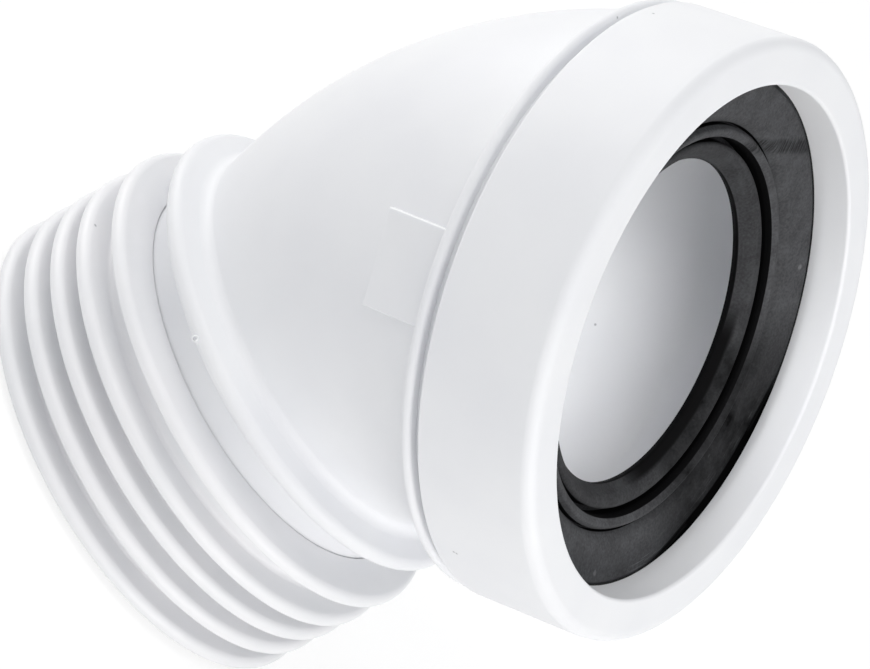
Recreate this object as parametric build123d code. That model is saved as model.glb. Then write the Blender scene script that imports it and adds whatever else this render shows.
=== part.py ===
"""Toilet pan connector: a 45 degree bend that joins a WC pan outlet to a soil pipe.

All sizes are in millimetres. The part stands on its outlet end. +Z runs up the outlet's axis,
the origin is the centre of the outlet end, and the mouth leans towards +X.
"""
import os
from math import cos, radians, sin

from build123d import *

os.makedirs("parts", exist_ok=True)

# Bend: a tapering tube. The mouth's axis and the outlet's axis cross at one point.
BEND_ANGLE = 45.0
MOUTH_LENGTH = 57.9            # from the crossing out to the mouth plane
FLANGE_TO_CROSS = 37.8         # from the flange's foot up to the crossing
BEND_SECTIONS = 6              # steps from one end of the bend to the other
BEND_NECK_STEP = 0.5           # bend's small end over the neck

# Collar: outer ring over the mouth
COLLAR_R = 66.85
COLLAR_LENGTH = 27.8
COLLAR_RIM = 10.05             # width of the front ring
COLLAR_SKIRT_WALL = 2.9
COLLAR_WEB = 3.6               # thickness of the front ring
COLLAR_FRONT_ROUND = 2.8
COLLAR_REAR_ROUND = 0.4
COLLAR_BORE_LENGTH = 9.0       # depth of the socket wall that presses on the seal
COLLAR_BORE_ROUND = 0.8
COLLAR_LIP_WALL = 3.2

# Seal: rubber ring with a lip that grips the pan's spigot. Widths run outwards from the lip's edge.
SEAL_LIP_R = 36.0
SEAL_LIP_SLOPE = 2.6           # lip's edge out to the roll's crest
SEAL_LIP_FALL = 3.6            # roll's crest down to the lip's edge
SEAL_LIP_CURL = 0.2            # how far the edge curls under
SEAL_LIP_ROUND = 1.0
SEAL_LIP_END_ROUND = 0.5
SEAL_ROLL_WIDTH = 2.2          # roll's crest out to its shoulder
SEAL_ROLL_DROP = 1.75          # crest below the ridge
SEAL_ROLL_ROUND = 2.6
SEAL_SHOULDER_ROUND = 0.8
SEAL_GROOVE_DRAFT = 0.2        # lean of the groove's inner wall
SEAL_GROOVE_WIDTH = 0.4        # at its floor
SEAL_GROOVE_DEPTH = 5.15       # below the ridge
SEAL_GROOVE_WALL = 1.6         # thickness below the groove
SEAL_GROOVE_ROUND = 0.2
SEAL_RIDGE_DRAFT = 0.3         # lean of the groove's outer wall
SEAL_RIDGE_INNER_RUN = 1.6     # gentle inner slope of the ridge
SEAL_RIDGE_INNER_FALL = 1.25
SEAL_RIDGE_FOOT_ROUND = 0.6
SEAL_RIDGE_WIDTH = 0.5         # at its crest
SEAL_RIDGE_ROUND = 0.5
SEAL_RIDGE_DROP = 0.35         # ridge below the band's end
SEAL_RIDGE_OUTER_RUN = 0.7
SEAL_RIDGE_OUTER_FALL = 1.05
SEAL_RIDGE_OUTER_ROUND = 0.4
SEAL_SLIT_DRAFT = 0.2          # lean of both walls of the slit beside the ridge
SEAL_SLIT_WIDTH = 0.4          # at its floor
SEAL_SLIT_DEPTH = 2.45         # below the ridge
SEAL_SLIT_ROUND = 0.12
SEAL_BAND_FOOT = 1.25          # outer edge of the slit, below the ridge
SEAL_BAND_FOOT_ROUND = 0.15
SEAL_BAND_RUN = 2.5            # slit up to the band
SEAL_BAND_DROP = 1.1           # how far the band falls towards the ridge
SEAL_BAND_ROUND = 3.0
SEAL_BAND_EDGE_ROUND = 0.4
SEAL_GUTTER_RUN = 0.7          # narrow gutter between the band and the collar's lip
SEAL_GUTTER_UNDER = 0.4        # the gutter starts under that lip
SEAL_GUTTER_DEPTH = 0.8
SEAL_GUTTER_ROUND = 0.2
SEAL_BACK_SPREAD = 1.0         # wall behind the groove, wider than the groove
SEAL_BACK_RUN = 1.8            # slit to where the band gets its even thickness
SEAL_BACK_INNER_ROUND = 1.0
SEAL_BACK_ROUND = 2.0
SEAL_SKIN = 4.3                # thickness at the band's end
SEAL_RIM_THICKNESS = 3.5       # held between the collar's lip and the cup
SEAL_RIM_OVERHANG = 2.0        # rim's thick part, inwards past the cup's wall
SEAL_HOOK_GAP = 0.3            # hook inside the collar to the collar's lip

# Cup: the body's mouth, inside the collar
CUP_CLEARANCE = 0.4            # cup to the inside of the collar, on the radius
CUP_WALL = 3.6
CUP_STEP = 0.55                # cup's outside over the bend's
SNAP_INSET = 3.5               # collar's rear edge to its snap rib
SNAP_WIDTH = 2.2
SNAP_HEIGHT = 1.0
SNAP_CLEARANCE = 0.2
SEAM_GAP = 2.5                 # collar's rear edge to the bead
BEAD_HEIGHT = 3.3              # over the bend
BEAD_WIDTH = 2.3
BEAD_FRONT_ROUND = 1.2
BEAD_REAR_ROUND = 1.0
BEAD_FOOT = 1.95               # foot of the bead on the bend
BEAD_FOOT_ROUND = 1.1
BEAD_FOOT_FLARE = 0.35         # the foot starts the taper of the bend

# Flange, neck and spigot: along the outlet
NECK_R = 45.0
NECK_LENGTH = 8.2              # from the sleeve up to the flange
NECK_FILLET = 1.2
FLANGE_HEIGHT = 8.1            # over the neck
FLANGE_WIDTH = 3.8             # at the rim
FLANGE_SLOPE = 1.6             # how far the flange's front face leans
FLANGE_BACK_SLOPE = 0.9
FLANGE_ROUND = 2.1
FLANGE_FOOT = 2.4              # straight foot between the flange and the bend
FLANGE_FOOT_ROUND = 2.6
SPIGOT_WALL = 2.8
SPIGOT_ROUND = 0.6
SPIGOT_BEAD_HEIGHT = 0.8
SPIGOT_BEAD_WIDTH = 2.4

# Sleeve: soft ring with five fins. Fin 1 is the one next to the flange.
SLEEVE_WALL = 3.2
SLEEVE_END_GAP = 0.3           # sleeve's end to the spigot's end
SLEEVE_LEAD_GAP = 0.25         # shallow gap round the neck at the sleeve's top
SLEEVE_LEAD_DEPTH = 0.8
FIN_HEIGHT = 7.3               # over the sleeve
FIN_5_TO_END = 2.0             # back edge of the last fin's rim to the spigot's end
FIN_PITCH_4_5 = 7.8
FIN_PITCH_3_4 = 7.3
FIN_PITCH_2_3 = 7.2
FIN_PITCH_1_2 = 9.7
FIN_TIP = 2.8                  # thickness at the rim
FIN_FLARE = 0.5                # extra thickness of each side at the root
FIN_FRONT_ROUND = 2.0
FIN_BACK_ROUND = 0.4
FIN_ROOT_ROUND = 0.9

# Marking pad and gate nub on the side of the body that faces -Y
PAD_LENGTH = 21.0
PAD_WIDTH = 18.2
PAD_OVERLAP = 2.35             # pad's near end into the bead, past the bend's large end
PAD_SHIFT = 3.2                # pad's middle towards the inner side of the bend
PAD_TILT = 15.6                # pad's face follows the taper of the bend
PAD_RISE = 0.6                 # pad's near edge over the bend's large end
PAD_TWIST = 4.0                # lifts the pad's end on the outer side of the bend
PAD_BLOCK = 6.0
PAD_ROUND = 0.4
NUB_ANGLE = 272.6
NUB_R = 0.9
NUB_RISE = 1.0                 # flange's back edge to the nub
NUB_SINK = 0.15                # nub's middle inside the flange's rim

# Shared radii: the mouth follows the collar, and the outlet follows the neck.
collar_bore_r = COLLAR_R - COLLAR_RIM
lip_outer_r = collar_bore_r + COLLAR_LIP_WALL
skirt_inner_r = COLLAR_R - COLLAR_SKIRT_WALL
cup_r = skirt_inner_r - CUP_CLEARANCE
cup_bore_r = cup_r - CUP_WALL
bend_mouth_r = cup_r - CUP_STEP
bead_r = bend_mouth_r + BEAD_HEIGHT
bend_outlet_r = NECK_R + BEND_NECK_STEP
flange_r = NECK_R + FLANGE_HEIGHT
waterway_r = NECK_R - SPIGOT_WALL
sleeve_r = NECK_R + SLEEVE_WALL
fin_r = sleeve_r + FIN_HEIGHT

# Shared heights at the outlet, upwards from the outlet end
fin_backs = [FIN_5_TO_END]
for pitch in (FIN_PITCH_4_5, FIN_PITCH_3_4, FIN_PITCH_2_3, FIN_PITCH_1_2):
    fin_backs.append(fin_backs[-1] + pitch)
sleeve_top = fin_backs[-1] + FIN_TIP + FIN_FLARE
neck_top = sleeve_top + NECK_LENGTH
flange_back = neck_top + FLANGE_BACK_SLOPE
flange_front = flange_back + FLANGE_WIDTH
foot_z = flange_front + FLANGE_SLOPE
bend_end_z = foot_z + FLANGE_FOOT
outlet_length = bend_end_z + FLANGE_TO_CROSS

# Shared heights at the mouth, measured from the mouth plane, so they are negative inwards
seal_front = -COLLAR_BORE_LENGTH
cup_rim = seal_front - SEAL_RIM_THICKNESS
snap_bottom = -COLLAR_LENGTH + SNAP_INSET
snap_top = snap_bottom + SNAP_WIDTH
bead_front = -COLLAR_LENGTH - SEAM_GAP
bead_rear = bead_front - BEAD_WIDTH
bend_start = bead_rear - BEAD_FOOT

# Placing
turn = radians(BEND_ANGLE)
mouth_axis = Vector(sin(turn), 0, cos(turn))
crossing = Vector(0, 0, outlet_length)
mouth_centre = crossing + mouth_axis * MOUTH_LENGTH
mouth = Plane(origin=mouth_centre, x_dir=(cos(turn), 0, -sin(turn)), z_dir=mouth_axis)


def turned(outline):
    """Ring about Z. Each point of the outline is (radius, height, corner round), 0 for a sharp corner."""
    corners = [Vector(radius, height) for radius, height, _ in outline]
    face = make_face(Polyline(*corners, close=True).edges())
    for corner, (_, _, corner_round) in zip(corners, outline):
        if corner_round:
            face = fillet(face.vertices().sort_by_distance(corner)[0], corner_round)
    return revolve(Plane.XZ * face, axis=Axis.Z)


def at_mouth(shape):
    """The same shape, drawn about Z with the mouth plane at height 0, moved to the mouth."""
    return mouth.location * shape


# Socket collar: outer skirt with a snap rib, front ring and the inner lip
snap_r = skirt_inner_r - SNAP_HEIGHT + SNAP_CLEARANCE
socket_collar = at_mouth(turned([
    (collar_bore_r, 0, COLLAR_BORE_ROUND),
    (COLLAR_R, 0, COLLAR_FRONT_ROUND),
    (COLLAR_R, -COLLAR_LENGTH, COLLAR_REAR_ROUND),
    (skirt_inner_r, -COLLAR_LENGTH, 0),
    (skirt_inner_r, snap_bottom - SNAP_HEIGHT, 0),
    (snap_r, snap_bottom, 0),
    (snap_r, snap_top, 0),
    (skirt_inner_r, snap_top + SNAP_HEIGHT, 0),
    (skirt_inner_r, -COLLAR_WEB, 0),
    (lip_outer_r, -COLLAR_WEB, 0),
    (lip_outer_r, seal_front, 0),
    (collar_bore_r, seal_front, 0),
]))

# Inlet seal: hook and rim held between the collar and the cup, then band, slit, ridge, groove and rolled lip
seal_outer_r = skirt_inner_r - CUP_CLEARANCE
hook_r = lip_outer_r + SEAL_HOOK_GAP
roll_r = SEAL_LIP_R + SEAL_LIP_SLOPE
shoulder_r = roll_r + SEAL_ROLL_WIDTH
groove_in = shoulder_r + SEAL_GROOVE_DRAFT
groove_out = groove_in + SEAL_GROOVE_WIDTH
ridge_foot_r = groove_out + SEAL_RIDGE_DRAFT
ridge_in = ridge_foot_r + SEAL_RIDGE_INNER_RUN
ridge_out = ridge_in + SEAL_RIDGE_WIDTH
slit_edge_r = ridge_out + SEAL_RIDGE_OUTER_RUN
slit_in = slit_edge_r + SEAL_SLIT_DRAFT
slit_out = slit_in + SEAL_SLIT_WIDTH
band_foot_r = slit_out + SEAL_SLIT_DRAFT
band_end_r = band_foot_r + SEAL_BAND_RUN
band_end = seal_front - SEAL_BAND_DROP
ridge_top = band_end - SEAL_RIDGE_DROP
slit_floor = ridge_top - SEAL_SLIT_DEPTH
groove_floor = ridge_top - SEAL_GROOVE_DEPTH
seal_back = groove_floor - SEAL_GROOVE_WALL
roll_top = ridge_top - SEAL_ROLL_DROP
inlet_seal = at_mouth(turned([
    (seal_outer_r, cup_rim, 0),
    (seal_outer_r, -COLLAR_WEB, 0),
    (hook_r, -COLLAR_WEB, 0),
    (hook_r, seal_front, 0),
    (collar_bore_r + SEAL_GUTTER_UNDER, seal_front, 0),
    (collar_bore_r, seal_front - SEAL_GUTTER_DEPTH, SEAL_GUTTER_ROUND),
    (collar_bore_r - SEAL_GUTTER_RUN, seal_front, SEAL_BAND_EDGE_ROUND),
    (band_end_r, band_end, SEAL_BAND_ROUND),
    (band_foot_r, ridge_top - SEAL_BAND_FOOT, SEAL_BAND_FOOT_ROUND),
    (slit_out, slit_floor, SEAL_SLIT_ROUND),
    (slit_in, slit_floor, SEAL_SLIT_ROUND),
    (slit_edge_r, ridge_top - SEAL_RIDGE_OUTER_FALL, SEAL_RIDGE_OUTER_ROUND),
    (ridge_out, ridge_top, SEAL_RIDGE_ROUND),
    (ridge_in, ridge_top, SEAL_RIDGE_ROUND),
    (ridge_foot_r, ridge_top - SEAL_RIDGE_INNER_FALL, SEAL_RIDGE_FOOT_ROUND),
    (groove_out, groove_floor, SEAL_GROOVE_ROUND),
    (groove_in, groove_floor, SEAL_GROOVE_ROUND),
    (shoulder_r, roll_top, SEAL_SHOULDER_ROUND),
    (roll_r, roll_top, SEAL_ROLL_ROUND),
    (SEAL_LIP_R, roll_top - SEAL_LIP_FALL, SEAL_LIP_ROUND),
    (SEAL_LIP_R + SEAL_LIP_CURL, seal_back, SEAL_LIP_END_ROUND),
    (groove_out + SEAL_BACK_SPREAD, seal_back, SEAL_BACK_INNER_ROUND),
    (slit_out + SEAL_BACK_RUN, band_end - SEAL_SKIN, SEAL_BACK_ROUND),
    (cup_bore_r - SEAL_RIM_OVERHANG, cup_rim, 0),
]))

# Elbow body: cup with bead, tapering bend, flange, neck and spigot, then the waterway is cut out
cup = at_mouth(turned([
    (0, cup_rim, 0),
    (cup_r, cup_rim, 0),
    (cup_r, snap_top + SNAP_HEIGHT, 0),
    (cup_r - SNAP_HEIGHT, snap_top, 0),
    (cup_r - SNAP_HEIGHT, snap_bottom, 0),
    (cup_r, snap_bottom - SNAP_HEIGHT, 0),
    (cup_r, bead_front, 0),
    (bead_r, bead_front, BEAD_FRONT_ROUND),
    (bead_r, bead_rear, BEAD_REAR_ROUND),
    (bend_mouth_r + BEAD_FOOT_FLARE, bead_rear, BEAD_FOOT_ROUND),
    (bend_mouth_r, bend_start, 0),
    (0, bend_start, 0),
]))

# The bend's two end planes meet on the pivot line, so each section is turned about that line.
mouth_reach = MOUTH_LENGTH + bend_start
pivot_to_outlet = (mouth_reach + FLANGE_TO_CROSS * cos(turn)) / sin(turn)
pivot_to_mouth = (FLANGE_TO_CROSS + mouth_reach * cos(turn)) / sin(turn)
pivot = Vector(pivot_to_outlet, 0, bend_end_z)


def bend_tube(outlet_r, mouth_r):
    """Tapering tube that turns about the pivot line from the outlet's axis to the mouth's."""
    sections = []
    for step in range(BEND_SECTIONS + 1):
        part = step / BEND_SECTIONS
        angle = turn * part
        reach = pivot_to_outlet + (pivot_to_mouth - pivot_to_outlet) * part
        centre = pivot + Vector(-cos(angle), 0, sin(angle)) * reach
        plane = Plane(origin=centre, x_dir=(cos(angle), 0, -sin(angle)), z_dir=(sin(angle), 0, cos(angle)))
        sections.append(plane * Circle(outlet_r + (mouth_r - outlet_r) * part))
    return loft(sections)


bend = bend_tube(bend_outlet_r, bend_mouth_r)

outlet = turned([
    (0, bend_end_z, 0),
    (bend_outlet_r, bend_end_z, 0),
    (bend_outlet_r, foot_z, FLANGE_FOOT_ROUND),
    (flange_r, flange_front, FLANGE_ROUND),
    (flange_r, flange_back, FLANGE_ROUND),
    (NECK_R, neck_top, NECK_FILLET),
    (NECK_R, 0, SPIGOT_ROUND),
    (0, 0, 0),
])

# A low bead on the spigot, between the first two fins, keeps the sleeve from sliding off.
half_bead = SPIGOT_BEAD_WIDTH / 2
spigot_bead_z = (fin_backs[-1] + fin_backs[-2]) / 2
spigot_bead_top = spigot_bead_z + half_bead
spigot_bead_foot = spigot_bead_z - half_bead
spigot_bead_r = NECK_R + SPIGOT_BEAD_HEIGHT
spigot_bead = turned([
    (waterway_r, spigot_bead_foot, 0),
    (NECK_R, spigot_bead_foot, 0),
    (spigot_bead_r, spigot_bead_foot + SPIGOT_BEAD_HEIGHT, 0),
    (spigot_bead_r, spigot_bead_top, 0),
    (waterway_r, spigot_bead_top, 0),
])

# Marking pad: a flat block let into the side of the bend
block = Pos(0, PAD_BLOCK / 2, -PAD_WIDTH / 2) * Box(PAD_LENGTH, PAD_BLOCK, PAD_WIDTH)
block = fillet(block.faces().sort_by(Axis.Y)[0].edges(), PAD_ROUND)
pad_place = Pos(PAD_SHIFT, -bend_mouth_r - PAD_RISE, bend_start + PAD_OVERLAP)
pad = at_mouth(pad_place * Rot(PAD_TILT, 0, PAD_TWIST) * block)

# Gate nub: the stub that the mould's gate leaves on the flange's rim
nub_turn = radians(NUB_ANGLE)
nub_reach = flange_r - NUB_SINK
nub_z = flange_back + NUB_RISE
nub = Pos(nub_reach * cos(nub_turn), nub_reach * sin(nub_turn), nub_z) * Sphere(NUB_R)

solid_body = cup + bend + outlet + pad + nub + spigot_bead

cup_bore = Cylinder(cup_bore_r, cup_rim - bend_start, align=(Align.CENTER, Align.CENTER, Align.MIN))
cup_bore = at_mouth(Pos(0, 0, bend_start) * cup_bore)
spigot_bore = Cylinder(waterway_r, bend_end_z, align=(Align.CENTER, Align.CENTER, Align.MIN))
bend_bore = bend_tube(waterway_r, cup_bore_r)
elbow_body = solid_body - (cup_bore + spigot_bore + bend_bore)

# Outlet fin sleeve: wall on the spigot with a groove for the spigot's bead, and the fins
sleeve_outline = [(NECK_R, SLEEVE_END_GAP, 0), (sleeve_r, SLEEVE_END_GAP, 0)]
for rim_back in fin_backs:
    rim_front = rim_back + FIN_TIP
    sleeve_outline.append((sleeve_r, rim_back - FIN_FLARE, FIN_ROOT_ROUND))
    sleeve_outline.append((fin_r, rim_back, FIN_BACK_ROUND))
    sleeve_outline.append((fin_r, rim_front, FIN_FRONT_ROUND))
    if rim_back is not fin_backs[-1]:
        sleeve_outline.append((sleeve_r, rim_front + FIN_FLARE, FIN_ROOT_ROUND))

# The front face of fin 1 is the sleeve's own end, so it runs straight down to a narrow gap round the neck.
sleeve_outline.append((NECK_R + SLEEVE_LEAD_GAP, sleeve_top, 0))
sleeve_outline.append((NECK_R + SLEEVE_LEAD_GAP, sleeve_top - SLEEVE_LEAD_DEPTH, 0))
sleeve_outline.append((NECK_R, sleeve_top - SLEEVE_LEAD_DEPTH - SLEEVE_LEAD_GAP, 0))
sleeve_outline.append((NECK_R, spigot_bead_top, 0))
sleeve_outline.append((spigot_bead_r, spigot_bead_top, 0))
sleeve_outline.append((spigot_bead_r, spigot_bead_foot + SPIGOT_BEAD_HEIGHT, 0))
sleeve_outline.append((NECK_R, spigot_bead_foot, 0))
outlet_fin_sleeve = turned(sleeve_outline)

for name, shape in {
    "elbow_body": elbow_body,
    "socket_collar": socket_collar,
    "inlet_seal": inlet_seal,
    "outlet_fin_sleeve": outlet_fin_sleeve,
}.items():
    export_step(shape, f"parts/{name}.step")
    print(name, "volume", round(shape.volume / 1000, 1), "cm3", "solids", len(shape.solids()))
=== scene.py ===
# %% [markdown]
# # Toilet pan connector
# A pan connector carries the waste of a WC round a bend and into the soil pipe. This one has a white bend,
# a white collar snapped over its mouth, a black rubber seal inside the collar and a soft white sleeve with
# fins on its outlet. The measured model comes in first as a fixed frame. Its solids could be dressed as
# they are, but their triangles are long and uneven. So each visible piece is made again here with the tools
# that one would use by hand, and the meshes are even and easy to change.

# %% Load the measured model
from math import cos, pi, radians, sin, tan

import bmesh
import bpy
from mathutils import Matrix, Vector


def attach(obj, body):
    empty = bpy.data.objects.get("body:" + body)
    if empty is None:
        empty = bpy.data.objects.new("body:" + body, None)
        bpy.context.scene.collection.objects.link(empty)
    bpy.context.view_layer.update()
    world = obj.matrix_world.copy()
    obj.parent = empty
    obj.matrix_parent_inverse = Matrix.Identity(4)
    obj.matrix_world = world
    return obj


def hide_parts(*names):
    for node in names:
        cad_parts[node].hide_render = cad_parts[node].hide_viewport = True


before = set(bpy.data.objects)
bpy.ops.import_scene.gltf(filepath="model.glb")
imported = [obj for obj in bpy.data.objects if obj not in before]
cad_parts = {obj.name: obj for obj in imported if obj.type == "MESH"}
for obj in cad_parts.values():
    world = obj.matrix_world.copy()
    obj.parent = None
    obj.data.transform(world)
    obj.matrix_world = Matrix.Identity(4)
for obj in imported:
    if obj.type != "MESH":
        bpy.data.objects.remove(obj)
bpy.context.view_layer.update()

# %% [markdown]
# ## Sizes and places
# The connector stands on its outlet end, with the outlet's axis up Z. The mouth's axis leans 45 degrees
# towards X, and the two axes cross. Sizes could be written in metres, Blender's own unit, but a drawing of
# such a part is in millimetres, so they are too, and MM turns them. A name that ends in _R is a radius. A
# round piece of 180 sides leaves its outline by a hundredth of a millimetre, which no render shows.

# %% Sizes and places
MM = 0.001
SIDES = 180
BEND = radians(45)
CROSSING_HEIGHT, MOUTH_REACH = 92.0, 57.9
MOUTH_AXIS = Vector((sin(BEND), 0, cos(BEND)))
MOUTH = Vector((0, 0, CROSSING_HEIGHT)) * MM + MOUTH_AXIS * MOUTH_REACH * MM
MOUTH_PLACE = Matrix.Translation(MOUTH) @ Matrix.Rotation(BEND, 4, "Y")
print("middle of the mouth in mm:", [round(c / MM, 2) for c in MOUTH])

# %% [markdown]
# ## The lathe
# Three of the pieces are round, as if turned on a lathe. Such a piece could start from a cylinder with many
# loops, but its section is what matters, so that is drawn first. One vertex is pulled from corner to
# corner, a vertex bevel rounds the corners, and Spin turns the outline once about Z. A corner is written as
# its radius, its height and its round. The cut that gives a round depends on how sharply the outline turns
# there.

# %% Helpers: select by place
# Two places closer than this, in metres, count as one.
SAME_PLACE = 1e-7


def in_object_mode():
    """Leave edit mode and deselect everything, so that the next operator meets only what it should."""
    if bpy.context.object and bpy.context.object.mode != "OBJECT":
        bpy.ops.object.mode_set(mode="OBJECT")
    bpy.ops.object.select_all(action="DESELECT")


def select_where(piece, test):
    """In edit mode, select the vertices that pass the test, with the edges and faces between them."""
    bpy.ops.mesh.select_all(action="DESELECT")
    mesh = bmesh.from_edit_mesh(piece.data)
    for vertex in mesh.verts:
        vertex.select = test(vertex.co)
    mesh.select_flush(True)
    bmesh.update_edit_mesh(piece.data)
    return sum(vertex.select for vertex in mesh.verts)


in_object_mode()
print("objects still selected:", len(bpy.context.selected_objects))

# %% Helper: draw an outline


def draw_outline(name, corners):
    """Pull one vertex from corner to corner in the XZ plane and close the wire."""
    in_object_mode()
    places = [Vector((radius, 0, height)) * MM for radius, height, _ in corners]
    first, last = places[0], places[-1]
    bpy.ops.mesh.primitive_plane_add(size=MM, location=first)
    piece = bpy.context.object
    piece.name = piece.data.name = name
    bpy.ops.object.transform_apply(location=True, rotation=True, scale=True)
    bpy.ops.object.mode_set(mode="EDIT")
    bpy.ops.mesh.select_mode(type="VERT")
    bpy.ops.mesh.select_all(action="SELECT")
    bpy.ops.mesh.merge(type="CENTER")
    for here, there in zip(places, places[1:]):
        bpy.ops.mesh.extrude_vertices_move(TRANSFORM_OT_translate={"value": there - here})
    select_where(piece, lambda co: min((co - first).length, (co - last).length) < SAME_PLACE)
    bpy.ops.mesh.edge_face_add()
    print(name, "has an outline of", len(places), "corners")
    return piece


# %% Helpers: round the corners and spin
CORNER_STEPS = 6


def corner_cut(before, corner, after, corner_round):
    """How far from the corner the round starts, for a circle of that radius."""
    turn = (corner - before).angle(after - corner)
    return corner_round * tan(turn / 2)


def round_corners(piece, corners):
    """Bevel each corner of the outline that has a round."""
    places = [Vector((radius, 0, height)) * MM for radius, height, _ in corners]
    for number, (_, _, corner_round) in enumerate(corners):
        if corner_round:
            here = places[number]
            after = places[(number + 1) % len(places)]
            cut = corner_cut(places[number - 1], here, after, corner_round * MM)
            select_where(piece, lambda co: (co - here).length < SAME_PLACE)
            bpy.ops.mesh.bevel(offset=cut, segments=CORNER_STEPS, profile=0.5, affect="VERTICES")


def turn_on_lathe(name, corners):
    """Draw the outline, round it, and spin it once about Z."""
    piece = draw_outline(name, corners)
    round_corners(piece, corners)
    bpy.ops.mesh.select_all(action="SELECT")
    bpy.ops.mesh.spin(steps=SIDES, angle=2 * pi, center=(0, 0, 0), axis=(0, 0, 1))
    bpy.ops.mesh.select_all(action="SELECT")
    bpy.ops.mesh.remove_doubles(threshold=SAME_PLACE)
    bpy.ops.mesh.normals_make_consistent(inside=False)
    bpy.ops.object.mode_set(mode="OBJECT")
    print(name, "has", len(piece.data.polygons), "faces")
    return piece


square_cut = corner_cut(Vector((0, 0, 0)), Vector((1, 0, 0)), Vector((1, 0, 1)), 1.0)
print("on a square corner, a round of 1 mm starts", round(square_cut, 3), "mm from it")

# %% [markdown]
# ## Collar
# The collar is a white ring that snaps over the mouth and clamps the seal. It could be a tube with loops
# pulled in, but its section is an L with a short inner lip, so that is drawn once and spun. Heights count
# down from the mouth plane. The snap rib near the rear edge is hidden once the collar is on, but it costs
# four corners and makes the piece true.

# %% Collar
COLLAR_R, COLLAR_BORE_R, COLLAR_REAR = 66.85, 56.8, -27.8
LIP_R, LIP_END, SEAT = 60.0, -9.0, -3.6
SOCKET_R = 63.95
RIB_R, RIB_FRONT, RIB_BACK, RIB_SLOPE = 63.15, -22.1, -24.3, 1.0
COLLAR = [
    (COLLAR_BORE_R, 0, 0.8),
    (COLLAR_R, 0, 2.8),
    (COLLAR_R, COLLAR_REAR, 0.4),
    (SOCKET_R, COLLAR_REAR, 0),
    (SOCKET_R, RIB_BACK - RIB_SLOPE, 0),
    (RIB_R, RIB_BACK, 0),
    (RIB_R, RIB_FRONT, 0),
    (SOCKET_R, RIB_FRONT + RIB_SLOPE, 0),
    (SOCKET_R, SEAT, 0),
    (LIP_R, SEAT, 0),
    (LIP_R, LIP_END, 0),
    (COLLAR_BORE_R, LIP_END, 0),
]


def put_in_place(piece, place):
    """Move the piece there and put the move into its mesh, so that the object stays at the origin."""
    in_object_mode()
    piece.select_set(True)
    bpy.context.view_layer.objects.active = piece
    piece.matrix_world = place
    bpy.ops.object.transform_apply(location=True, rotation=True, scale=True)


collar = turn_on_lathe("collar", COLLAR)
put_in_place(collar, MOUTH_PLACE)

# %% [markdown]
# ## Seal
# The seal is a moulded rubber ring. From outside inwards it has a hook that the collar grips, a band that
# falls a little, a narrow slit, a ridge, a deep groove and a rolled lip that closes on the pan's spigot.
# The ridge and the grooves could be a bump in the material, but the eye looks straight at them, so they are
# cut into the section. All of it is round, so the lathe makes it too.

# %% Seal
CUP_R, CUP_END = 63.55, -12.5
HOOK_R = 60.3
BAND_R = 56.1
SEAL = [
    # the hook, outside and inside
    (CUP_R, CUP_END, 0),
    (CUP_R, SEAT, 0),
    (HOOK_R, SEAT, 0),
    (HOOK_R, LIP_END, 0),
    # a small notch at the edge of the collar's bore, then the band
    (57.2, LIP_END, 0),
    (56.8, -9.8, 0.2),
    (BAND_R, LIP_END, 0.4),
    (47.8, -10.1, 3.0),
    # the slit
    (45.6, -11.6, 0.15),
    (45.4, -12.9, 0.1),
    (45.1, -12.9, 0.1),
    (44.95, -11.3, 0.15),
    # the ridge
    (44.0, -9.8, 0.7),
    (42.4, -10.9, 0.3),
    # the deep groove
    (42.1, -12.4, 0.3),
    (42.2, -15.6, 0.2),
    (41.0, -15.6, 0.2),
    # the rolled lip
    (40.8, -12.2, 0.8),
    (38.6, -12.2, 2.6),
    (36.0, -15.8, 1.0),
    # the underside, back to the hook
    (36.4, -17.2, 0.3),
    (42.4, -17.2, 1.0),
    (46.9, -14.4, 2.0),
    (57.95, CUP_END, 0),
]
seal = turn_on_lathe("seal", SEAL)

# %% [markdown]
# ## Sag of the seal's edge
# The band doesn't touch the collar all round. On the far side, towards the foot of the mouth, its edge sags
# a little and a dark crescent shows there. A bent section could be swept round, but the band is already
# made, so its edge is only moved down. Everything else is hidden first, so that it stays still.
# Proportional editing then lets the move fade out along the ring, and a second move drops only the
# outermost edge further.

# %% Sag of the seal's edge
SAG_TURN = radians(58)
SAG_LENGTH = 12
BAND_LIMITS = (46.0, 57.5)
BAND_FLOOR = -10.5
sag_place = Vector((BAND_R * cos(SAG_TURN), BAND_R * sin(SAG_TURN))) * MM


def off_the_band(co):
    """True for the hook, the ridge, the lip and the underside."""
    inner_limit, outer_limit = BAND_LIMITS
    return not inner_limit * MM <= co.xy.length <= outer_limit * MM or co.z < BAND_FLOOR * MM


bpy.ops.object.mode_set(mode="EDIT")
select_where(seal, off_the_band)
bpy.ops.mesh.hide(unselected=False)
for inner, drop, fade in ((55.0, 1.2, 20.0), (56.5, 1.9, 0.9)):
    moved = select_where(
        seal, lambda co: co.xy.length > inner * MM and (co.xy - sag_place).length < SAG_LENGTH * MM
    )
    bpy.ops.transform.translate(
        value=(0, 0, -drop * MM), use_proportional_edit=True, use_proportional_connected=True,
        proportional_edit_falloff="SMOOTH", proportional_size=fade * MM,
    )
    print("the edge outside", inner, "mm sags by", drop, "mm, led by", moved, "vertices")
bpy.ops.mesh.reveal(select=False)
bpy.ops.object.mode_set(mode="OBJECT")
put_in_place(seal, MOUTH_PLACE)

# %% [markdown]
# ## Fin sleeve
# The sleeve is pushed over the outlet. Its five fins bend and seal inside the soil pipe. A fin has a blunt
# rim, rounded more on the side that faces the bend, and a foot that runs out into the sleeve. The fins
# could be five separate rings, but the real sleeve is one moulding, so one fin is written down, and the
# outline repeats it at each fin's height. The fin nearest to the bend is the sleeve's own end, so its front
# runs straight down to the neck.

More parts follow.
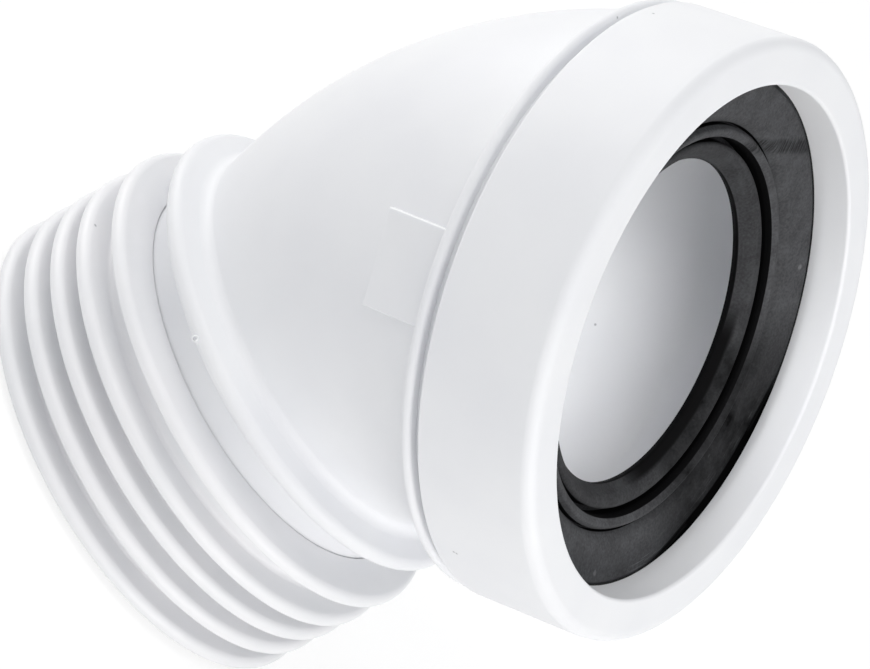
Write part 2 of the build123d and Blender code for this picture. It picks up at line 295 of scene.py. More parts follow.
# %% Fin sleeve: one fin
NECK_R, SLEEVE_R, FIN_R = 45.0, 48.2, 55.5
FIN_BACKS = [2.0, 9.8, 17.1, 24.3, 34.0]
FIN_TIP, FIN_FLARE = 2.8, 0.5
FOOT_ROUND, BACK_ROUND, FRONT_ROUND = 0.9, 0.4, 2.0


def fin(back):
    """Corners of one fin, from its back foot to its front foot."""
    return [
        (SLEEVE_R, back - FIN_FLARE, FOOT_ROUND),
        (FIN_R, back, BACK_ROUND),
        (FIN_R, back + FIN_TIP, FRONT_ROUND),
        (SLEEVE_R, back + FIN_TIP + FIN_FLARE, FOOT_ROUND),
    ]


print("a fin stands", round(FIN_R - SLEEVE_R, 2), "mm proud of the sleeve")

# %% Fin sleeve: the whole outline
SLEEVE_END = 0.3
SLEEVE_FRONT = FIN_BACKS[-1] + FIN_TIP + FIN_FLARE
FRONT_GAP, FRONT_GAP_DEPTH = 0.25, 0.8
CATCH_RISE, CATCH_LOW, CATCH_TOP = 0.8, 28.75, 30.35
CATCH_R, CATCH_FOOT = NECK_R + CATCH_RISE, CATCH_LOW - CATCH_RISE
SLEEVE = [(NECK_R, SLEEVE_END, 0), (SLEEVE_R, SLEEVE_END, 0)]
for fin_back in FIN_BACKS:
    SLEEVE += fin(fin_back)
SLEEVE[-1] = (NECK_R + FRONT_GAP, SLEEVE_FRONT, 0)
SLEEVE += [
    (NECK_R + FRONT_GAP, SLEEVE_FRONT - FRONT_GAP_DEPTH, 0),
    (NECK_R, SLEEVE_FRONT - FRONT_GAP_DEPTH - FRONT_GAP, 0),
    (NECK_R, CATCH_TOP, 0),
    (CATCH_R, CATCH_TOP, 0),
    (CATCH_R, CATCH_LOW, 0),
    (NECK_R, CATCH_FOOT, 0),
]
sleeve = turn_on_lathe("fin_sleeve", SLEEVE)

# %% [markdown]
# ## Bend
# The body is one moulding: a spigot, a flange, a tapering bend and a cup. It isn't round about one axis, so
# the lathe can't make it, and a pipe along a curve would keep one radius. A circle is extruded instead,
# ring after ring, and each new ring is moved, turned and sized. At the mouth the rings turn inwards and
# come back down the inside, and the last ring is bridged to the first, which makes the wall a closed solid.
# A ring is written as its centre, its tilt and its radius. The planes of the bend's first and last ring
# cross in one line, and all its rings turn about that line.

# %% Bend: where a ring lies
BEND_STEPS = 30
BEND_FOOT, BEND_TOP = 54.2, -34.55
foot_reach = CROSSING_HEIGHT - BEND_FOOT
top_reach = MOUTH_REACH + BEND_TOP
pivot_to_outlet = (top_reach + foot_reach * cos(BEND)) / sin(BEND)
pivot_to_mouth = (foot_reach + top_reach * cos(BEND)) / sin(BEND)
pivot = Vector((pivot_to_outlet, 0, BEND_FOOT))


def on_outlet(height, radius):
    """A level ring at that height above the outlet end."""
    return Vector((0, 0, height)) * MM, 0.0, radius * MM


def on_bend(part, outlet_radius, mouth_radius):
    """A ring of the bend, from part 0 at the flange to part 1 at the cup."""
    tilt = BEND * part
    reach = pivot_to_outlet + (pivot_to_mouth - pivot_to_outlet) * part
    centre = pivot + Vector((-cos(tilt), 0, sin(tilt))) * reach
    return centre * MM, tilt, (outlet_radius + (mouth_radius - outlet_radius) * part) * MM


def on_mouth(height, radius):
    """A ring about the mouth's axis, with its height counted from the mouth plane."""
    return MOUTH + MOUTH_AXIS * height * MM, BEND, radius * MM


print("the bend turns about a line", round(pivot_to_outlet, 2), "mm from the outlet's axis")

# %% Bend: list the rings
OUTLET_R, OUTLET_BORE_R = 45.5, 42.2
MOUTH_R, MOUTH_BORE_R = 63.0, 59.95
FLANGE_R, FLANGE_FOOT, FLANGE_LOW, FLANGE_TOP, FLANGE_END = 53.1, 45.5, 46.4, 50.2, 51.8
BEAD_R, BEAD_FOOT_R, BEAD_BACK, BEAD_FRONT = 66.3, 63.35, -32.6, -30.3
GROOVE_R = 62.55
OUTLET_RINGS = [
    (0, NECK_R),
    (CATCH_FOOT, NECK_R),
    (CATCH_LOW, CATCH_R),
    (CATCH_TOP, CATCH_R),
    (CATCH_TOP, NECK_R),
    (FLANGE_FOOT, NECK_R),
    (FLANGE_LOW, FLANGE_R),
    (FLANGE_TOP, FLANGE_R),
    (FLANGE_END, OUTLET_R),
    (BEND_FOOT, OUTLET_R),
]
MOUTH_RINGS = [
    (BEND_TOP, MOUTH_R),
    (BEAD_BACK, BEAD_FOOT_R),
    (BEAD_BACK, BEAD_R),
    (BEAD_FRONT, BEAD_R),
    (BEAD_FRONT, CUP_R),
    (RIB_BACK - RIB_SLOPE, CUP_R),
    (RIB_BACK, GROOVE_R),
    (RIB_FRONT, GROOVE_R),
    (RIB_FRONT + RIB_SLOPE, CUP_R),
    (CUP_END, CUP_R),
    (CUP_END, MOUTH_BORE_R),
    (BEND_TOP, MOUTH_BORE_R),
]
parts = [step / BEND_STEPS for step in range(1, BEND_STEPS)]
rings = [on_outlet(height, radius) for height, radius in OUTLET_RINGS]
rings += [on_bend(part, OUTLET_R, MOUTH_R) for part in parts]
rings += [on_mouth(height, radius) for height, radius in MOUTH_RINGS]
rings += [on_bend(part, OUTLET_BORE_R, MOUTH_BORE_R) for part in reversed(parts)]
rings += [on_outlet(BEND_FOOT, OUTLET_BORE_R), on_outlet(0, OUTLET_BORE_R)]
print("the body has", len(rings), "rings")

# %% Bend: extrude ring after ring
in_object_mode()
centre, tilt, radius = rings[0]
bpy.ops.mesh.primitive_circle_add(vertices=SIDES, radius=radius, location=centre)
body = bpy.context.object
body.name = body.data.name = "bend_body"
bpy.ops.object.transform_apply(location=True, rotation=True, scale=True)
bpy.ops.object.mode_set(mode="EDIT")
bpy.ops.mesh.select_mode(type="EDGE")
bpy.ops.mesh.select_all(action="SELECT")
for new_centre, new_tilt, new_radius in rings[1:]:
    bpy.ops.mesh.extrude_edges_move(TRANSFORM_OT_translate={"value": new_centre - centre})
    if new_tilt != tilt:
        bpy.ops.transform.rotate(value=tilt - new_tilt, orient_axis="Y", center_override=new_centre)
    if new_radius != radius:
        bpy.ops.transform.resize(value=(new_radius / radius,) * 3, center_override=new_centre)
    centre, tilt, radius = new_centre, new_tilt, new_radius
bpy.ops.mesh.select_mode(type="VERT")
select_where(body, lambda co: abs(co.z) < SAME_PLACE)
bpy.ops.mesh.bridge_edge_loops()
bpy.ops.mesh.select_all(action="SELECT")
bpy.ops.mesh.remove_doubles(threshold=SAME_PLACE)
bpy.ops.mesh.normals_make_consistent(inside=False)
print("the body has", len(bmesh.from_edit_mesh(body.data).faces), "faces")

# %% [markdown]
# ## Rounds of the bend
# The flange, its foot and the bead beside the collar are soft edges in the mould. A bevel modifier would
# round every edge alike, so each of these rings is bevelled by itself, with its own cut. The ring is found
# by its place: its vertices all lie at one distance from the ring's centre, in its plane.

# %% Rounds of the bend
# A vertex this near to a ring, in metres, lies on it.
ON_RING = 1e-6


def round_ring(ring, cut, segments):
    """Bevel the edges of one ring."""
    ring_centre, ring_tilt, ring_radius = ring
    axis = Vector((sin(ring_tilt), 0, cos(ring_tilt)))

    def on_ring(co):
        away = co - ring_centre
        return abs(away.dot(axis)) < ON_RING and abs(away.length - ring_radius) < ON_RING

    count = select_where(body, on_ring)
    bpy.ops.mesh.bevel(offset=cut * MM, segments=segments, profile=0.5, affect="EDGES")
    return count


found = [
    round_ring(on_outlet(0, NECK_R), 0.6, 3),
    round_ring(on_outlet(FLANGE_FOOT, NECK_R), 1.08, 5),
    round_ring(on_outlet(FLANGE_LOW, FLANGE_R), 1.88, 8),
    round_ring(on_outlet(FLANGE_TOP, FLANGE_R), 1.7, 8),
    round_ring(on_outlet(FLANGE_END, OUTLET_R), 2.11, 8),
    round_ring(on_mouth(BEAD_BACK, BEAD_FOOT_R), 0.92, 6),
    round_ring(on_mouth(BEAD_BACK, BEAD_R), 1.0, 6),
    round_ring(on_mouth(BEAD_FRONT, BEAD_R), 1.2, 8),
]
bpy.ops.object.mode_set(mode="OBJECT")
print("vertices found on each ring:", found)

# %% [markdown]
# ## Marking pad and gate nub
# A flat pad stands a little proud of the bend beside the bead. It is left bare here. It could be pulled out
# of the bend's own faces, but they curve and the pad is flat, so a cube is cut to its size, its outer edges
# are rounded, and a boolean joins it to the body, because on the real part it is the same moulding. The
# flange carries the small stub that the mould's gate leaves. It is a short cylinder whose end is inset,
# sunk in the middle and pushed down on one side, as if torn off, and it is joined in the same way.

# %% Marking pad
PAD_LENGTH, PAD_DEPTH, PAD_WIDTH, PAD_ROUND = 21.0, 2.6, 18.2, 0.4
PAD_TILT, PAD_TURN = radians(15.6), radians(4.0)
PAD_PLACE = Vector((3.2, -63.6, -32.2)) * MM


def join_to_body(piece):
    """Unite the piece with the body, and remove what is left of it."""
    in_object_mode()
    bpy.context.view_layer.objects.active = body
    body.select_set(True)
    union = body.modifiers.new("union", "BOOLEAN")
    union.operation = "UNION"
    union.solver = "EXACT"
    union.object = piece
    bpy.ops.object.modifier_apply(modifier=union.name)
    bpy.data.objects.remove(piece, do_unlink=True)


in_object_mode()
bpy.ops.mesh.primitive_cube_add(
    size=1, location=(0, PAD_DEPTH / 2 * MM, -PAD_WIDTH / 2 * MM),
    scale=(PAD_LENGTH * MM, PAD_DEPTH * MM, PAD_WIDTH * MM),
)
pad = bpy.context.object
bpy.ops.object.transform_apply(location=True, rotation=True, scale=True)
bpy.ops.object.mode_set(mode="EDIT")
select_where(pad, lambda co: co.y < PAD_DEPTH / 2 * MM)
bpy.ops.mesh.bevel(offset=PAD_ROUND * MM, segments=4, profile=0.5, affect="EDGES")
bpy.ops.object.mode_set(mode="OBJECT")
pad_turned = Matrix.Rotation(PAD_TILT, 4, "X") @ Matrix.Rotation(PAD_TURN, 4, "Z")
put_in_place(pad, MOUTH_PLACE @ Matrix.Translation(PAD_PLACE) @ pad_turned)
join_to_body(pad)
print("with the pad, the body has", len(body.data.polygons), "faces")

# %% Gate nub
NUB_R, NUB_LENGTH, NUB_WALL, NUB_SINK, NUB_TEAR = 0.8, 2.0, 0.35, 0.7, 0.3
NUB_REACH, NUB_HEIGHT, NUB_TURN = 52.6, 47.4, radians(272.6)
in_object_mode()
bpy.ops.mesh.primitive_cylinder_add(vertices=20, radius=NUB_R * MM, depth=NUB_LENGTH * MM)
nub = bpy.context.object
bpy.ops.object.mode_set(mode="EDIT")
bpy.ops.mesh.select_mode(type="FACE")
select_where(nub, lambda co: co.z > 0)
bpy.ops.mesh.inset(thickness=NUB_WALL * MM)
bpy.ops.mesh.extrude_region_move(TRANSFORM_OT_translate={"value": (0, 0, -NUB_SINK * MM)})
bpy.ops.mesh.select_mode(type="VERT")
select_where(nub, lambda co: co.z > 0.45 * NUB_LENGTH * MM and co.y > 0.375 * NUB_R * MM)
bpy.ops.transform.translate(value=(0, 0, -NUB_TEAR * MM))
bpy.ops.object.mode_set(mode="OBJECT")
nub_out = Vector((cos(NUB_TURN), sin(NUB_TURN), 0))
nub_place = Matrix.Translation((nub_out * NUB_REACH + Vector((0, 0, NUB_HEIGHT))) * MM)
put_in_place(nub, nub_place @ nub_out.to_track_quat("Z", "Y").to_matrix().to_4x4())
join_to_body(nub)
print("with the nub, the body has", len(body.data.polygons), "faces")

# %% [markdown]
# ## Smooth shading
# Smooth shading bends the light across the facets. More facets would do it too, but they make the file
# heavy. Edges sharper than 32 degrees stay crisp. A Weighted Normal modifier then lets the large faces
# lead, so that flats beside a small round stay flat.

# %% Smooth shading
CREASE = radians(32)
for piece in (body, collar, seal, sleeve):
    in_object_mode()
    piece.select_set(True)
    bpy.context.view_layer.objects.active = piece
    bpy.ops.object.shade_smooth_by_angle(angle=CREASE)
    weighted = piece.modifiers.new("weighted", "WEIGHTED_NORMAL")
    weighted.keep_sharp = True
    bpy.ops.object.modifier_apply(modifier=weighted.name)
    print("smoothed", piece.name, "with", len(piece.data.polygons), "faces")

# %% [markdown]
# ## Colours and nodes
# Each material is a tree of nodes on Object coordinates, so a pattern keeps its real size and its place.
# Image textures would need files. Colours are written as sRGB hex, as a colour picker shows them, and one
# function turns them into the linear values that the shader needs. Another adds a node, sets it and links
# it in one call.

# %% Helpers: colour and nodes


def linear(hex_colour):
    """A linear RGBA colour from sRGB hex."""
    channels = [int(hex_colour[i : i + 2], 16) / 255 for i in (1, 3, 5)]
    return [c / 12.92 if c <= 0.04045 else ((c + 0.055) / 1.055) ** 2.4 for c in channels] + [1.0]


def add_node(tree, kind, settings=None, **sockets):
    """Add a node, set it, then set or link its sockets by name, or by number as in _0.

    A node that is given as a value stands for its first output in use.
    """
    node = tree.nodes.new(kind)
    for setting, value in (settings or {}).items():
        setattr(node, setting, value)
    for socket, value in sockets.items():
        if socket[1:].isdigit():
            target = node.inputs[int(socket[1:])]
        else:
            name = socket.replace("_", " ")
            target = next(each for each in node.inputs if each.name == name and each.enabled)
        if isinstance(value, bpy.types.Node):
            value = next(each for each in value.outputs if each.enabled)
        if isinstance(value, bpy.types.NodeSocket):
            tree.links.new(value, target)
        else:
            target.default_value = value
    return node


def new_material(name):
    """A material and its node tree, emptied."""
    material = bpy.data.materials.new(name)
    material.use_nodes = True
    material.node_tree.nodes.clear()
    return material, material.node_tree


print("the sRGB grey #808080 is", round(linear("#808080")[0], 3), "in linear light")

# %% [markdown]
# ## White polypropylene
# The bend and the collar are polypropylene with white pigment, injected into a mould with a fine satin
# finish. It could be one flat white, but a real moulding varies slowly in tone and gloss, and a few dark
# specks sit in the resin. The clouds are about 30 mm wide. The tool's grain is much finer than a pixel, so
# it is drawn 0.7 mm wide.

# %% White polypropylene: specks in the resin
SPECK_COLOUR = "#B4B5B9"
RESIN_SPECK_SIZE = 0.4
RESIN_SPECKS = [
    (-20.2, -25.4, 159.2),
    (-22.0, -29.1, 152.9),
    (65.4, -35.8, 77.6),
    (64.9, -36.0, 77.2),
    (8.0, 53.5, 88.9),
]


def specks(tree, coords, places, size):
    """1 on round specks at the places, fading to 0 at their edge. Places and size are in millimetres."""
    mask = 0.0
    for place in places:
        middle = Vector(place) * MM
        away = add_node(tree, "ShaderNodeVectorMath", {"operation": "DISTANCE"}, _0=coords, _1=middle)
        dot = add_node(
            tree, "ShaderNodeMapRange", Value=away, From_Min=0.3 * size * MM, From_Max=size * MM, To_Min=1.0,
            To_Max=0.0,
        )
        mask = add_node(tree, "ShaderNodeMath", {"operation": "MAXIMUM"}, _0=mask, _1=dot)
    return mask


print("specks on the white bend and collar:", len(RESIN_SPECKS))

# %% White polypropylene: the material
# Satin and slightly milky: wide soft highlights, no mirror, and shade softened by light inside the wall.
polypropylene, tree = new_material("moulded_white_polypropylene")
coords = add_node(tree, "ShaderNodeTexCoord").outputs["Object"]
cloud = add_node(tree, "ShaderNodeTexNoise", Vector=coords, Scale=1 / (30 * MM), Detail=2.0)
tone = add_node(tree, "ShaderNodeValToRGB", Fac=cloud)
for stop, position, colour in zip(tone.color_ramp.elements, (0.3, 0.7), ("#ECEDF0", "#F1F2F4")):
    stop.position = position
    stop.color = linear(colour)
speck_mask = specks(tree, coords, RESIN_SPECKS, RESIN_SPECK_SIZE)
specked = add_node(
    tree, "ShaderNodeMix", {"data_type": "RGBA"}, Factor=speck_mask, A=tone, B=linear(SPECK_COLOUR)
)
grain = add_node(tree, "ShaderNodeTexNoise", Vector=coords, Scale=1 / (0.7 * MM), Detail=2.0)
relief = add_node(tree, "ShaderNodeBump", Height=grain, Strength=0.05, Distance=0.05 * MM)
sheen = add_node(tree, "ShaderNodeMapRange", Value=cloud, To_Min=0.46, To_Max=0.52)
shader = add_node(
    tree, "ShaderNodeBsdfPrincipled", Base_Color=specked, Roughness=sheen, IOR=1.49, Normal=relief,
    Subsurface_Weight=0.6, Subsurface_Radius=(1, 1, 1), Subsurface_Scale=0.5 * MM,
)
add_node(tree, "ShaderNodeOutputMaterial", Surface=shader)
print("material", polypropylene.name, "has", len(tree.nodes), "nodes")

# %% [markdown]
# ## Soft white elastomer
# The sleeve is a thermoplastic elastomer, moulded white, that bends between two fingers. It could share the
# hard white's material, but it lets light in deeper and its skin is a little smoother, so it has its own.
# Its grain is drawn 0.9 mm wide, coarser than it is, so that it shows.

# %% Soft white elastomer
# Soft satin skin: the fins' rims catch wide highlights, and the gaps between them stay pale and milky.
ELASTOMER_SPECKS, ELASTOMER_SPECK_SIZE = [(-36.7, -38.9, 27.2)], 0.5
elastomer, tree = new_material("soft_white_elastomer")
coords = add_node(tree, "ShaderNodeTexCoord").outputs["Object"]
cloud = add_node(tree, "ShaderNodeTexNoise", Vector=coords, Scale=1 / (22 * MM), Detail=2.0)
tone = add_node(tree, "ShaderNodeValToRGB", Fac=cloud)
for stop, position, colour in zip(tone.color_ramp.elements, (0.3, 0.7), ("#ECEDEF", "#F1F1F3")):
    stop.position = position
    stop.color = linear(colour)
speck_mask = specks(tree, coords, ELASTOMER_SPECKS, ELASTOMER_SPECK_SIZE)
specked = add_node(
    tree, "ShaderNodeMix", {"data_type": "RGBA"}, Factor=speck_mask, A=tone, B=linear(SPECK_COLOUR)
)
grain = add_node(tree, "ShaderNodeTexNoise", Vector=coords, Scale=1 / (0.9 * MM), Detail=2.0)
relief = add_node(tree, "ShaderNodeBump", Height=grain, Strength=0.06, Distance=0.05 * MM)
shader = add_node(
    tree, "ShaderNodeBsdfPrincipled", Base_Color=specked, Roughness=0.45, IOR=1.5, Normal=relief,
    Subsurface_Weight=0.8, Subsurface_Radius=(1, 1, 1), Subsurface_Scale=0.8 * MM,
)
add_node(tree, "ShaderNodeOutputMaterial", Surface=shader)
print("material", elastomer.name, "has", len(tree.nodes), "nodes")

# %% [markdown]
# ## Black rubber
# The seal is moulded black rubber. Dust and handling turn the faces that look out of the mouth to a mottled
# dark grey. Faces that turn away from the mouth, the band's edge, the lip's inner wall, a patchy side and a
# streaky wedge are painted nearly black as shade. The marks could be painted on an image, but they follow
# the ring, so they are drawn from each point's reach from the mouth's axis, its turn about it and its depth.
# A Mapping node puts the origin in the mouth and turns metres to millimetres. Most marks are streaks or
# mottle, cut to their place by windows. The moulded grain is drawn 0.6 mm wide, coarser than it is, so that
# it shows.

# %% Black rubber: where a point lies on the seal
rubber, tree = new_material("moulded_black_rubber")
coords = add_node(tree, "ShaderNodeTexCoord").outputs["Object"]
flat = add_node(
    tree, "ShaderNodeMapping", {"vector_type": "TEXTURE"}, Vector=coords, Location=MOUTH,
    Rotation=(0, BEND, 0), Scale=(MM, MM, MM),
)
x, y, depth = add_node(tree, "ShaderNodeSeparateXYZ", Vector=flat).outputs
turn = add_node(tree, "ShaderNodeMath", {"operation": "ARCTAN2"}, _0=y, _1=x)
level = add_node(tree, "ShaderNodeVectorMath", {"operation": "MULTIPLY"}, _0=flat, _1=(1, 1, 0))
reach = add_node(tree, "ShaderNodeVectorMath", {"operation": "LENGTH"}, _0=level)
normal = add_node(tree, "ShaderNodeNewGeometry").outputs["Normal"]
facing = add_node(tree, "ShaderNodeVectorMath", {"operation": "DOT_PRODUCT"}, _0=normal, _1=MOUTH_AXIS)
SOFT_STEP = {"interpolation_type": "SMOOTHSTEP"}


def window(value, low, high, soft, inside=1.0):
    """The inside value or mask between low and high, fading to 0 over the soft width on both sides."""
    rise = add_node(
        tree, "ShaderNodeMapRange", SOFT_STEP, Value=value, From_Min=low - soft, From_Max=low, To_Max=inside
    )
    return add_node(
        tree, "ShaderNodeMapRange", SOFT_STEP, Value=value, From_Min=high, From_Max=high + soft, To_Min=rise,
        To_Max=0.0,
    )


def streaks(first, first_width, second, second_width, low, high, strength=1.0):
    """Noise that is drawn out along one of two values, as wide in each as its width says.

    It is 0 below the low noise level and has its full strength above the high one.
    """
    place = add_node(tree, "ShaderNodeCombineXYZ", X=first, Y=second)
    widths = (first_width, second_width, 1.0)
    drawn_out = add_node(tree, "ShaderNodeVectorMath", {"operation": "DIVIDE"}, _0=place, _1=widths)
    noise = add_node(tree, "ShaderNodeTexNoise", Vector=drawn_out, Scale=1.0, Detail=3.0)
    return add_node(tree, "ShaderNodeMapRange", Value=noise, From_Min=low, From_Max=high, To_Max=strength)


print("material", rubber.name, "starts with", len(tree.nodes), "nodes")

# %% Black rubber: mottle and pale marks
# Mottled dark grey, with faint rings on the rolled lip, fine scratches near the collar and specks of dust.
RUBBER_SPECKS = [(20.2, 49.6, 140.6), (72.6, 2.6, 88.3), (51.5, 40.2, 107.6)]
mottle = add_node(
    tree, "ShaderNodeTexNoise", Vector=coords, Scale=1 / (7 * MM), Detail=6.0, Roughness=0.65
)
grain = add_node(tree, "ShaderNodeTexNoise", Vector=coords, Scale=1 / (0.6 * MM), Detail=2.0)
blend = add_node(tree, "ShaderNodeMix", Factor=0.4, A=mottle, B=grain)
tone = add_node(tree, "ShaderNodeValToRGB", Fac=blend)
for stop, position, colour in zip(tone.color_ramp.elements, (0.4, 0.62), ("#404042", "#545557")):
    stop.position = position
    stop.color = linear(colour)
rolled = streaks(reach, 0.5, turn, 0.35, 0.5, 0.75)
rolled = window(reach, 30, 41, 14, inside=rolled)
scratched = streaks(reach, 0.3, turn, 0.25, 0.56, 0.66, strength=0.5)
scratched = window(reach, 52.5, 55.6, 1.5, inside=scratched)
scratched = window(turn, radians(24), radians(74), radians(12), inside=scratched)
dusty = add_node(tree, "ShaderNodeMath", {"operation": "MULTIPLY_ADD"}, _0=rolled, _1=0.1, _2=scratched)
for speck in RUBBER_SPECKS:
    middle = Vector(speck) * MM
    away = add_node(tree, "ShaderNodeVectorMath", {"operation": "DISTANCE"}, _0=coords, _1=middle)
    spot = window(away, 0, 0.35 * MM, 0.5 * MM, inside=grain)
    dusty = add_node(tree, "ShaderNodeMath", {"operation": "MULTIPLY_ADD"}, _0=spot, _1=1.2, _2=dusty)
pale = add_node(tree, "ShaderNodeMix", {"data_type": "RGBA"}, Factor=dusty, A=tone, B=linear("#7C7D7F"))
print("pale marks bring the rubber to", len(tree.nodes), "nodes")

# %% Black rubber: painted shade in the dark places
# Nearly black: painted shade on faces turned from the mouth, the band's edge, the lip's inner wall, a patchy
# side and a streaky wedge; the whole lip is also made a little darker.
# Painted shade: faces that turn away from the mouth, such as the walls of the slit and grooves, go
# near-black.
facing_away_shade = add_node(
    tree, "ShaderNodeMapRange", SOFT_STEP, Value=facing, From_Min=0.3, From_Max=0.6, To_Min=1.0, To_Max=0.0
)
# Painted shade: the band's outer edge by the collar's bore, on the side where it sags, goes near-black.
edge = window(turn, radians(34), radians(80), radians(14))
edge = window(reach, 55.8, 60, 0.8, inside=edge)
# Painted shade: the lower part of the lip's inner wall, on one side of the ring, goes near-black.
deep = add_node(
    tree, "ShaderNodeMapRange", SOFT_STEP, Value=depth, From_Min=-14.3, From_Max=-12.5, To_Min=1.0, To_Max=0.0
)
lip_wall_shade = window(reach, 30, 40, 0.5, inside=deep)
lip_wall_shade = window(turn, radians(32), radians(90), radians(24), inside=lip_wall_shade)
# Painted shade: a patchy dark sector across the seal, between turns of 48 and 80 degrees.
patchy = add_node(tree, "ShaderNodeMath", {"operation": "MULTIPLY"}, _0=mottle, _1=1.5)
patchy_side_shade = window(turn, radians(48), radians(80), radians(28), inside=patchy)
# The whole rolled lip is made a little darker.
darker_lip = window(reach, 30, 41, 0.5, inside=0.4)
# Painted shade: a streaky dark wedge beside a straight line on the band, like the edge of a cast shadow.
slanted = add_node(tree, "ShaderNodeVectorMath", {"operation": "DOT_PRODUCT"}, _0=flat, _1=(1, 0.17, 0))
streaky_shade_wedge = streaks(y, 0.5, x, 9, 0.3, 0.6, strength=0.7)
streaky_shade_wedge = window(slanted, -41.0, -39.5, 1.6, inside=streaky_shade_wedge)
streaky_shade_wedge = window(y, 10, 32, 6, inside=streaky_shade_wedge)
near_black_mask = facing_away_shade
for mask in (edge, lip_wall_shade, patchy_side_shade, darker_lip, streaky_shade_wedge):
    near_black_mask = add_node(tree, "ShaderNodeMath", {"operation": "MAXIMUM"}, _0=near_black_mask, _1=mask)
# Painted shade: the masks above mix the rubber towards near-black.
dark = add_node(tree, "ShaderNodeMix", {"data_type": "RGBA"}, Factor=near_black_mask, A=pale, B=linear("#060607"))
print("dark places bring the rubber to", len(tree.nodes), "nodes")

# %% Black rubber: surface
# Dull: a weak, wide sheen that changes with the mottle, over a fine moulded grain.
sheen = add_node(tree, "ShaderNodeMapRange", Value=mottle, To_Min=0.5, To_Max=0.72)
rings_and_grain = add_node(tree, "ShaderNodeMath", {"operation": "ADD"}, _0=grain, _1=rolled)
relief = add_node(tree, "ShaderNodeBump", Height=rings_and_grain, Strength=0.12, Distance=0.1 * MM)
shader = add_node(
    tree, "ShaderNodeBsdfPrincipled", Base_Color=dark, Roughness=sheen, IOR=1.5, Specular_IOR_Level=0.05,
    Normal=relief,
)
add_node(tree, "ShaderNodeOutputMaterial", Surface=shader)
print("material", rubber.name, "has", len(tree.nodes), "nodes")

# %% [markdown]
# ## Dressing the frame
# Each piece takes its material, rides on the one body of the model and stands for its measured solid, which
# is hidden. The solids could be hidden by hand, but then nothing would tell which piece stands for which of
# them.

# %% Dressing the frame
for piece, material, slot, node in [
    (body, polypropylene, "white_pp", "elbow_body"),
    (collar, polypropylene, "white_pp", "socket_collar"),
    (seal, rubber, "black_rubber", "inlet_seal"),
    (sleeve, elastomer, "white_elastomer", "outlet_fin_sleeve"),
]:
    piece.data.materials.clear()
    piece.data.materials.append(material)
    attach(piece, "root")
    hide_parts(node)
    print(piece.name, "stands for", node, "in", material.name)

# %% [markdown]
# ## Camera
# The camera looks down at the part with a long lens from nearly a metre away, and is rolled so that the
# outlet points to the lower left. It could be aimed at the part by a constraint, but that gives no roll. So
# its three directions are written down, as they were found by fitting the round edges of the photograph.

# %% Camera
RIGHT = Vector((0.35055, 0.47779, 0.80549))
UP = Vector((-0.89010, -0.09751, 0.44522))
TOWARDS = Vector((0.29127, -0.87304, 0.39109))
CAMERA_PLACE = Vector((0.30907, -0.89786, 0.47737))
LENS, SENSOR = 196.58, 36.0
camera_data = bpy.data.cameras.new("camera")
camera_data.sensor_width = SENSOR
camera_data.sensor_fit = "HORIZONTAL"
camera_data.lens = LENS
camera = bpy.data.objects.new("camera", camera_data)
bpy.context.collection.objects.link(camera)
camera.matrix_world = Matrix.Translation(CAMERA_PLACE) @ Matrix((RIGHT, UP, TOWARDS)).transposed().to_4x4()
bpy.context.scene.camera = camera
print("the camera is", round((CAMERA_PLACE - MOUTH).length, 3), "m from the mouth")

# %% [markdown]
# ## Floor
# The part stands on a white floor. Under light of this plain level a white material would come out pale
# grey, so rays that show a surface to the eye meet a floor that also glows, which comes out white and still
# takes the part's shadow. All other rays meet a plain pale floor that sends light back up to the part.

# %% Floor
FLOOR_SIZE = 8.0


def seen_rays(tree):
    """1 for the rays that show a surface to the eye: straight, by reflection or through a clear body."""
    path = add_node(tree, "ShaderNodeLightPath")
    seen = path.outputs["Is Camera Ray"]
    for other in ("Is Glossy Ray", "Is Transmission Ray"):
        seen = add_node(tree, "ShaderNodeMath", {"operation": "MAXIMUM"}, _0=seen, _1=path.outputs[other])
    return seen


in_object_mode()
bpy.ops.mesh.primitive_plane_add(size=FLOOR_SIZE)
floor = bpy.context.object
floor.name = floor.data.name = "floor"
# Matt and even: to the eye it is white, with only the part's soft shadow on it.
floor_paint, tree = new_material("white_floor")
bounce = add_node(tree, "ShaderNodeBsdfDiffuse", Color=linear("#F2F2F2"))
shade = add_node(tree, "ShaderNodeBsdfDiffuse", Color=linear("#909090"))
glow = add_node(tree, "ShaderNodeEmission", Color=linear("#FFFFFF"), Strength=0.8)
bright = add_node(tree, "ShaderNodeAddShader", _0=shade, _1=glow)
mixed = add_node(tree, "ShaderNodeMixShader", _0=seen_rays(tree), _1=bounce, _2=bright)
add_node(tree, "ShaderNodeOutputMaterial", Surface=mixed)
floor.data.materials.append(floor_paint)
print("the floor is", FLOOR_SIZE, "m wide")

# %% [markdown]
# ## Room and lamps
# The photograph looks as if the part stood in a white light tent. Strong lamps alone would give hard shade,
# so a bright room does most of the work, and four large soft lamps only lift the sides that are a little
# brighter. The room is slightly cool and the lamps slightly warm. The eye sees plain white behind the part.

# %% Room
ROOM_COLOUR, ROOM_STRENGTH = "#FAFCFF", 0.56
world = bpy.data.worlds.new("white_room")
bpy.context.scene.world = world
world.use_nodes = True
tree = world.node_tree
tree.nodes.clear()
room = add_node(tree, "ShaderNodeBackground", Color=linear(ROOM_COLOUR), Strength=ROOM_STRENGTH)
backdrop = add_node(tree, "ShaderNodeBackground", Color=linear("#FFFFFF"), Strength=1.0)
mixed = add_node(tree, "ShaderNodeMixShader", _0=seen_rays(tree), _1=room, _2=backdrop)
add_node(tree, "ShaderNodeOutputWorld", Surface=mixed)
print("the room lights the part with strength", ROOM_STRENGTH)

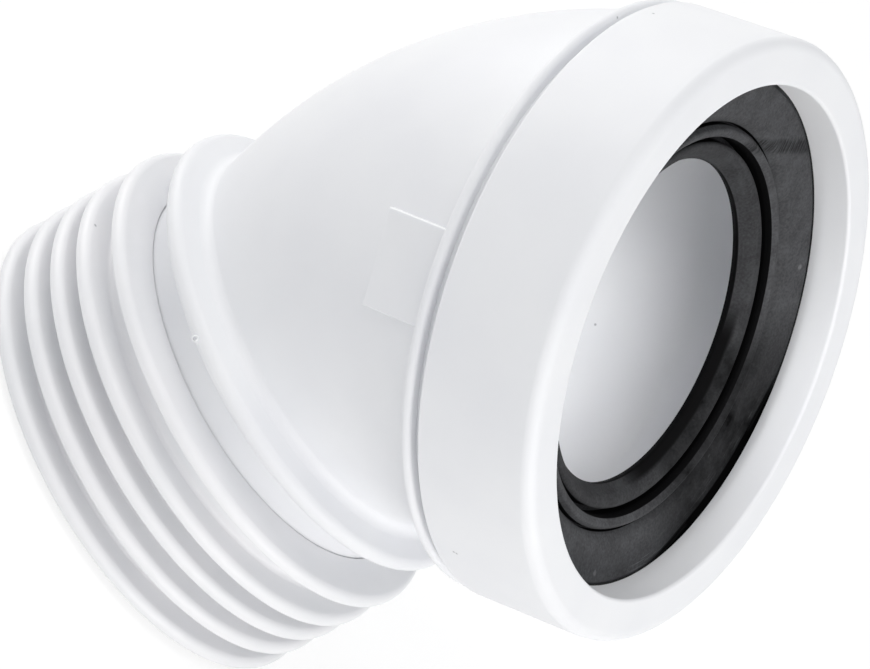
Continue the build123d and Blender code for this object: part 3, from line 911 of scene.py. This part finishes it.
# %% Lamps
LAMP_SIZE, LAMP_DISTANCE = 0.7, 1.2
LAMP_COLOUR = (1.0, 0.98, 0.955)
PART_MIDDLE = Vector((0.02, 0, 0.09))


def soft_lamp(name, azimuth, elevation, power):
    """A large square lamp that faces the middle of the part. The angles are in degrees."""
    around, rise = radians(azimuth), radians(elevation)
    away = Vector((cos(rise) * cos(around), cos(rise) * sin(around), sin(rise)))
    data = bpy.data.lights.new(name, "AREA")
    data.shape = "SQUARE"
    data.size = LAMP_SIZE
    data.energy = power
    data.color = LAMP_COLOUR
    lamp = bpy.data.objects.new(name, data)
    bpy.context.collection.objects.link(lamp)
    lamp.location = PART_MIDDLE + away * LAMP_DISTANCE
    lamp.rotation_euler = away.to_track_quat("Z", "Y").to_euler()
    print(name, "gives", power, "W")


soft_lamp("lamp_top", 180, 5, 5.5)
soft_lamp("lamp_foot", 0, 5, 6.0)
soft_lamp("lamp_side", 330, 5, 2.5)
soft_lamp("lamp_front", 240, 55, 3.7)

# %% [markdown]
# ## Light through the wall
# White plastic lets some light through its wall, so the real bend glows inside. The wall could be made to
# let light through, but that takes many samples to render cleanly. A small disk lamp under the near side of
# the seal stands for that glow instead. Two narrow strips beside it do the same for the collar's bore. The
# camera can't see any of them.

# %% Light through the wall
INSIDE_PLACE = MOUTH_PLACE @ (Vector((0, -44, -28)) * MM)
INSIDE_AIM = Vector((-6, 40, 62)) * MM
STRIP_PLACE = Vector((0, -30, -24)) * MM
STRIP_TILT = radians(106)


def hidden_lamp(name, shape, width, height, spread, power, place):
    """A small lamp that the camera can't see. Its width and height are in millimetres."""
    data = bpy.data.lights.new(name, "AREA")
    data.shape = shape
    data.size = width * MM
    data.size_y = height * MM
    data.spread = radians(spread)
    data.energy = power
    lamp = bpy.data.objects.new(name, data)
    bpy.context.collection.objects.link(lamp)
    lamp.visible_camera = False
    lamp.matrix_world = place
    print(name, "gives", power, "W")


inside_turned = (INSIDE_PLACE - INSIDE_AIM).to_track_quat("Z", "Y").to_matrix().to_4x4()
inside_stands = Matrix.Translation(INSIDE_PLACE) @ inside_turned
hidden_lamp(
    "lamp_inside", "DISK", width=24, height=24, spread=66, power=0.0132, place=inside_stands
)
for strip_turn, strip_power in ((5, 0.0018), (-30, 0.0013)):
    strip_place = Matrix.Rotation(radians(strip_turn), 4, "Z") @ Matrix.Translation(STRIP_PLACE)
    strip_stands = MOUTH_PLACE @ strip_place @ Matrix.Rotation(STRIP_TILT, 4, "X")
    hidden_lamp(
        "lamp_mouth", "RECTANGLE", width=60, height=8, spread=44, power=strip_power, place=strip_stands
    )

# %% [markdown]
# The Standard view shows a colour about as it is written.

bpy.context.scene.view_settings.view_transform = "Standard"
